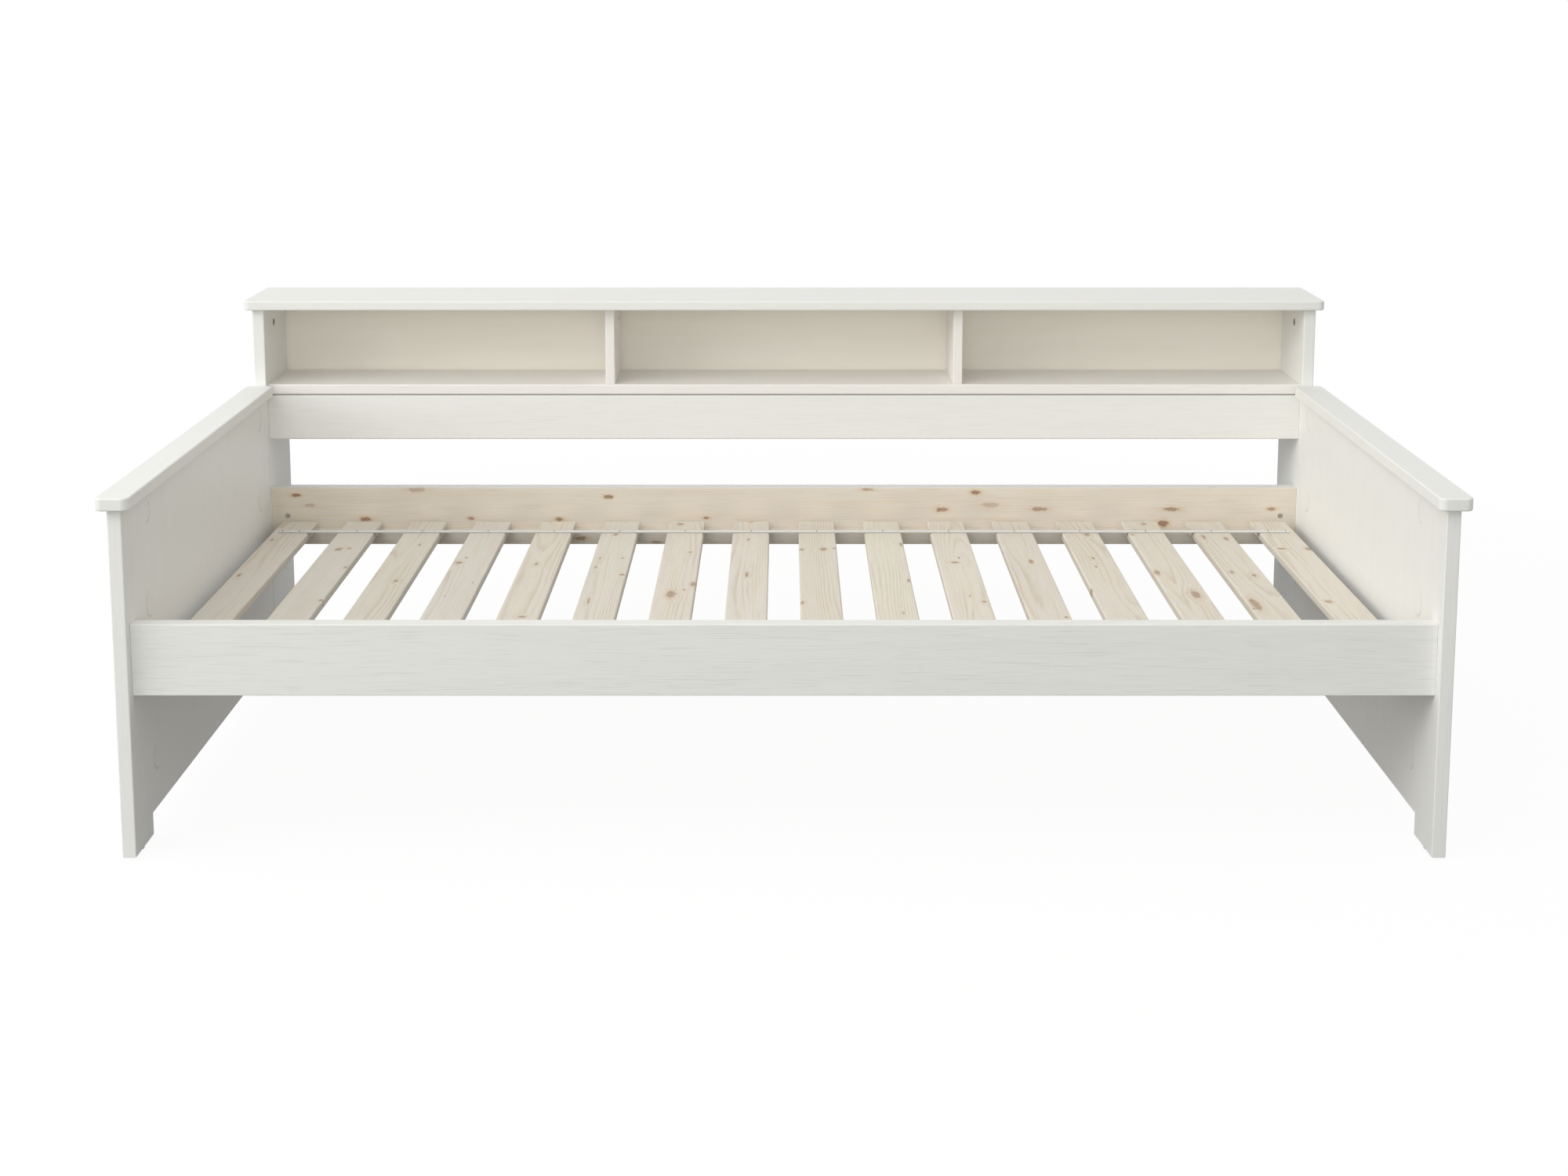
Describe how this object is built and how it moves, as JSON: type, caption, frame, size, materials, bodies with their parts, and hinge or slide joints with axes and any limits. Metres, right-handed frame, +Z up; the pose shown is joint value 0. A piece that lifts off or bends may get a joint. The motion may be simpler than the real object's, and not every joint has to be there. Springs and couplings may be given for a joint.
{
  "type": "storage_daybed",
  "caption": "Open-fronted painted pine daybed with side panels, a slatted base and a raised shelf of open compartments along its back.",
  "frame": {"origin": "on the floor, under the middle of the daybed's overall box", "axes": "+X to the right seen from the open front, +Y towards the wall behind, +Z up"},
  "size_m": [2.0746, 1.1354, 0.7421],
  "materials": {
    "painted_pine": "brushed white glaze, satin",
    "raw_pine": "planed, unfinished",
    "back_board": "painted sheet",
    "tape": "woven",
    "steel": "zinc plated",
    "dowel_wood": "turned beech",
    "glide_plastic": "moulded"
  },
  "bodies": {
    "bed": {"top_cap": "painted_pine", "shelf_board": "painted_pine", "back_apron": "painted_pine", "front_rail": "painted_pine", "rear_rail": "painted_pine", "side_panel_left": "painted_pine", "side_panel_right": "painted_pine", "arm_cap_left": "painted_pine", "arm_cap_right": "painted_pine", "shelf_gable_left": "painted_pine", "shelf_gable_right": "painted_pine", "shelf_divider_left": "painted_pine", "shelf_divider_right": "painted_pine", "front_batten": "raw_pine", "rear_batten": "raw_pine", "back_panel": "back_board", "bed_bolt_front_left": "steel", "bed_bolt_front_right": "steel", "bed_bolt_rear_left": "steel", "bed_bolt_rear_right": "steel", "barrel_nut_front_left": "steel", "barrel_nut_front_right": "steel", "barrel_nut_rear_left": "steel", "barrel_nut_rear_right": "steel", "cam_lock_gable_left": "steel", "cam_lock_gable_right": "steel", "cam_lock_divider_left": "steel", "cam_lock_divider_right": "steel", "cam_pin_gable_left": "steel", "cam_pin_gable_right": "steel", "cam_pin_divider_left": "steel", "cam_pin_divider_right": "steel", "seam_dowel_lower_left": "dowel_wood", "seam_dowel_lower_right": "dowel_wood", "seam_dowel_upper_left": "dowel_wood", "seam_dowel_upper_right": "dowel_wood", "glide_front_left": "glide_plastic", "glide_front_right": "glide_plastic", "glide_rear_left": "glide_plastic", "glide_rear_right": "glide_plastic", "glide_gable_left": "glide_plastic", "glide_gable_right": "glide_plastic"},
    "slat_base": {"slat_01": "raw_pine", "slat_02": "raw_pine", "slat_03": "raw_pine", "slat_04": "raw_pine", "slat_05": "raw_pine", "slat_06": "raw_pine", "slat_07": "raw_pine", "slat_08": "raw_pine", "slat_09": "raw_pine", "slat_10": "raw_pine", "slat_11": "raw_pine", "slat_12": "raw_pine", "slat_13": "raw_pine", "slat_14": "raw_pine", "slat_15": "raw_pine", "slat_16": "raw_pine", "slat_tape_front": "tape", "slat_tape_rear": "tape"}
  },
  "joints": [
    {"name": "slat_base_lift", "type": "slide", "parent": "bed", "child": "slat_base", "axis": [0, -0.0599, 0.9982], "range_m": [0, 0.46]}
  ]
}
